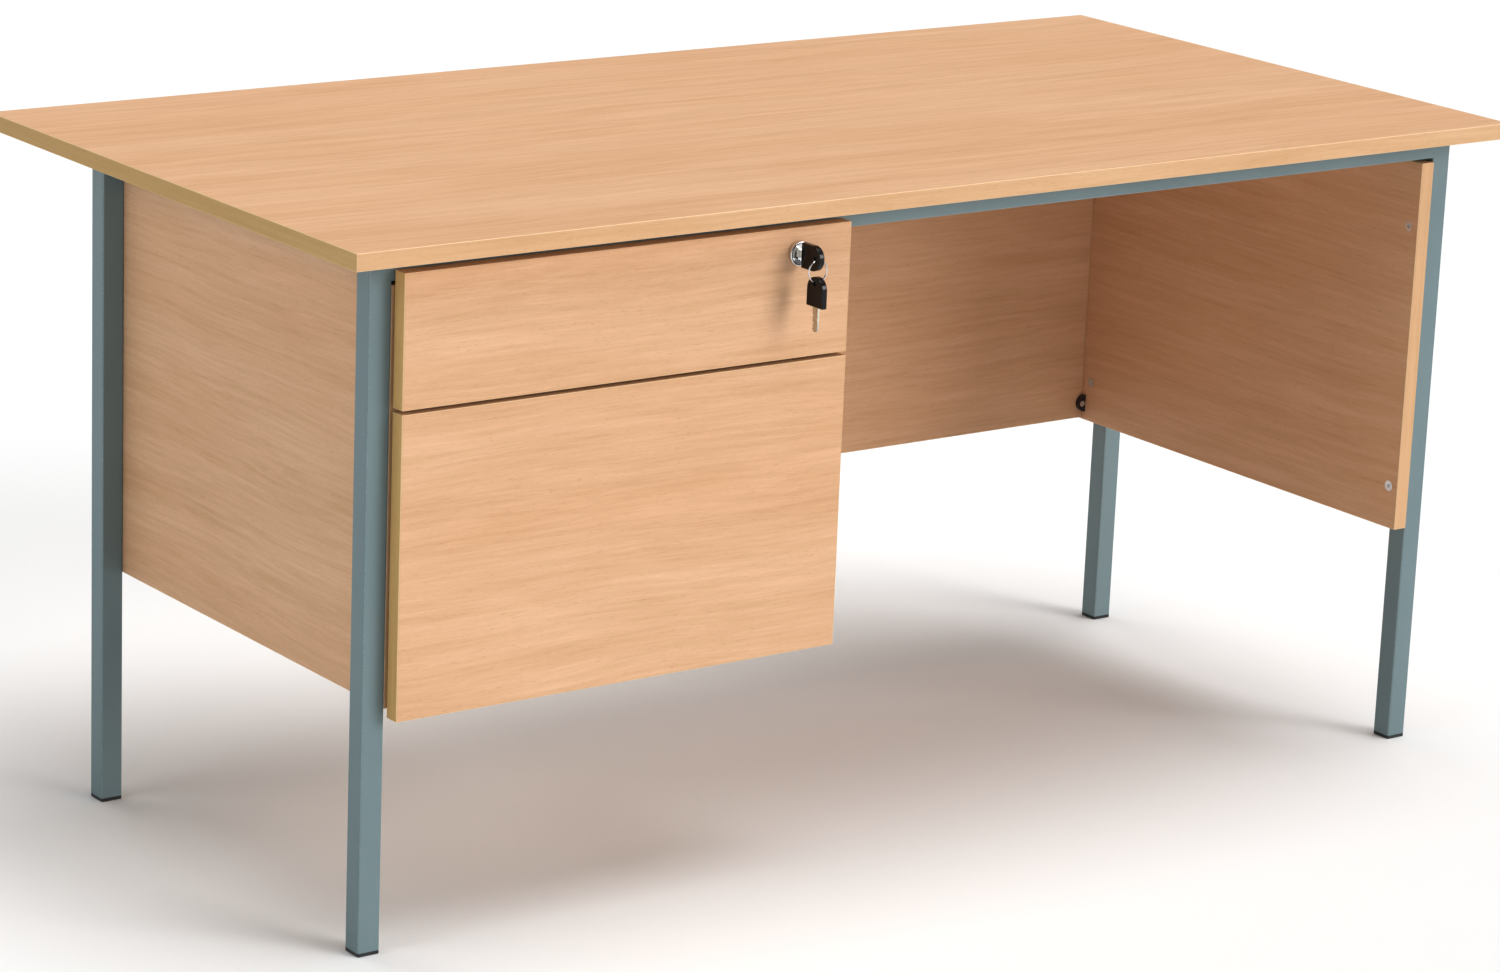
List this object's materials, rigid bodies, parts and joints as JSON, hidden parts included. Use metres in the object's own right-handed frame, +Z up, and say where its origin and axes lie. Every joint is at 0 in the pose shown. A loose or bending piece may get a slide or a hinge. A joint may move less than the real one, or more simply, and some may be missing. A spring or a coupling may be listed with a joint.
{
  "type": "teacher desk",
  "caption": "Classroom teacher desk: beech board top on a square tube frame, end and modesty panels, and a fixed pedestal with a lockable drawer above a filing drawer.",
  "frame": {"origin": "on the floor, under the middle of the whole object in X and Y, keys included", "axes": "+X to the sitter's right along the desktop, +Y from the sitter to the modesty panel, +Z up"},
  "size_m": [1.5, 0.7714, 0.728],
  "materials": {
    "beech_laminate": "satin beech grain laminate",
    "beech_edging": "satin beech grain edge band",
    "drawer_board": "matt pale board",
    "hardboard": "smooth hardboard",
    "frame_paint": "fine textured powder coat",
    "black_plastic": "moulded",
    "nylon": "moulded",
    "bright_chrome": "polished",
    "nickelled_steel": "satin plated",
    "screw_steel": "zinc plated",
    "zinced_steel": "zinc plated sheet"
  },
  "bodies": {
    "desk": {"board_screws": "screw_steel", "cheek_brackets": "zinced_steel", "connector_blocks": "black_plastic", "connector_screws": "screw_steel", "desktop": "beech_laminate", "desktop_edging": "beech_edging", "desktop_screws": "screw_steel", "end_panel_left": "beech_laminate", "end_panel_right": "beech_laminate", "end_panel_screws": "screw_steel", "filing_runner_outer_members": "zinced_steel", "foot_cap_front_left": "black_plastic", "foot_cap_front_right": "black_plastic", "foot_cap_rear_left": "black_plastic", "foot_cap_rear_right": "black_plastic", "leg_front_left": "frame_paint", "leg_front_right": "frame_paint", "leg_rear_left": "frame_paint", "leg_rear_right": "frame_paint", "modesty_panel": "beech_laminate", "panel_edging": "beech_edging", "pedestal_cheek": "beech_laminate", "pedestal_floor": "beech_laminate", "rail_front": "frame_paint", "rail_left": "frame_paint", "rail_rear": "frame_paint", "rail_right": "frame_paint", "upper_runner_channels": "zinced_steel"},
    "upper_drawer": {"upper_drawer_back": "drawer_board", "upper_drawer_base": "hardboard", "upper_drawer_front": "beech_laminate", "upper_drawer_front_edging": "beech_edging", "upper_drawer_front_screws": "screw_steel", "upper_drawer_inner_front": "drawer_board", "upper_drawer_side_left": "drawer_board", "upper_drawer_side_right": "drawer_board", "upper_runner_drawer_members": "zinced_steel", "lock_barrel": "bright_chrome", "lock_nut": "nickelled_steel"},
    "filing_drawer": {"filing_drawer_back": "drawer_board", "filing_drawer_base": "hardboard", "filing_drawer_front": "beech_laminate", "filing_drawer_front_edging": "beech_edging", "filing_drawer_front_screws": "screw_steel", "filing_drawer_inner_front": "drawer_board", "filing_drawer_side_left": "drawer_board", "filing_drawer_side_right": "drawer_board", "file_bars": "zinced_steel", "filing_runner_inner_members": "zinced_steel"},
    "filing_middle_members": {"filing_runner_middle_members": "zinced_steel"},
    "front_rollers": {"front_rollers": "nylon"},
    "rear_rollers": {"rear_rollers": "nylon"},
    "lock_core": {"lock_core": "bright_chrome", "lock_tongue": "nickelled_steel", "lock_tongue_screw": "screw_steel"},
    "key": {"key_blade": "nickelled_steel", "key_bow": "black_plastic"},
    "key_ring": {"key_ring": "bright_chrome"},
    "spare_key": {"spare_key_blade": "nickelled_steel", "spare_key_bow": "black_plastic"}
  },
  "joints": [
    {"name": "upper_drawer_slide", "type": "slide", "parent": "desk", "child": "upper_drawer", "axis": [0, -1, 0], "range_m": [0, 0.38]},
    {"name": "front_roller_spin", "type": "hinge", "parent": "desk", "child": "front_rollers", "pos_m": [-0.4155, -0.30425, 0.5825], "axis": [1, 0, 0], "range_deg": [0, 2420]},
    {"name": "rear_roller_spin", "type": "hinge", "parent": "upper_drawer", "child": "rear_rollers", "pos_m": [-0.4155, 0.17075, 0.5825], "axis": [1, 0, 0], "range_deg": [0, 2420]},
    {"name": "filing_drawer_slide", "type": "slide", "parent": "desk", "child": "filing_drawer", "axis": [0, -1, 0], "range_m": [0, 0.45]},
    {"name": "filing_middle_slide", "type": "slide", "parent": "desk", "child": "filing_middle_members", "axis": [0, -1, 0], "range_m": [0, 0.225]},
    {"name": "lock_turn", "type": "hinge", "parent": "upper_drawer", "child": "lock_core", "pos_m": [-0.215, -0.32425, 0.6705], "axis": [0, 1, 0], "range_deg": [0, 90]},
    {"name": "key_pull", "type": "slide", "parent": "lock_core", "child": "key", "axis": [0, -1, 0], "range_m": [0, 0.021]},
    {"name": "key_ring_swing", "type": "hinge", "parent": "key", "child": "key_ring", "pos_m": [-0.215, -0.37275, 0.6705], "axis": [1, 0, 0], "range_deg": [-90, 22]},
    {"name": "spare_key_round_ring", "type": "hinge", "parent": "key_ring", "child": "spare_key", "pos_m": [-0.215, -0.37275, 0.6584], "axis": [0, 1, 0], "range_deg": [-90, 0]}
  ],
  "couplings": [
    {"joint": "front_roller_spin", "follows": "upper_drawer_slide", "rad_per_m": 111.11},
    {"joint": "rear_roller_spin", "follows": "upper_drawer_slide", "rad_per_m": 111.11},
    {"joint": "filing_middle_slide", "follows": "filing_drawer_slide", "ratio": 0.5},
    {"joint": "spare_key_round_ring", "follows": "lock_turn", "ratio": -1}
  ]
}
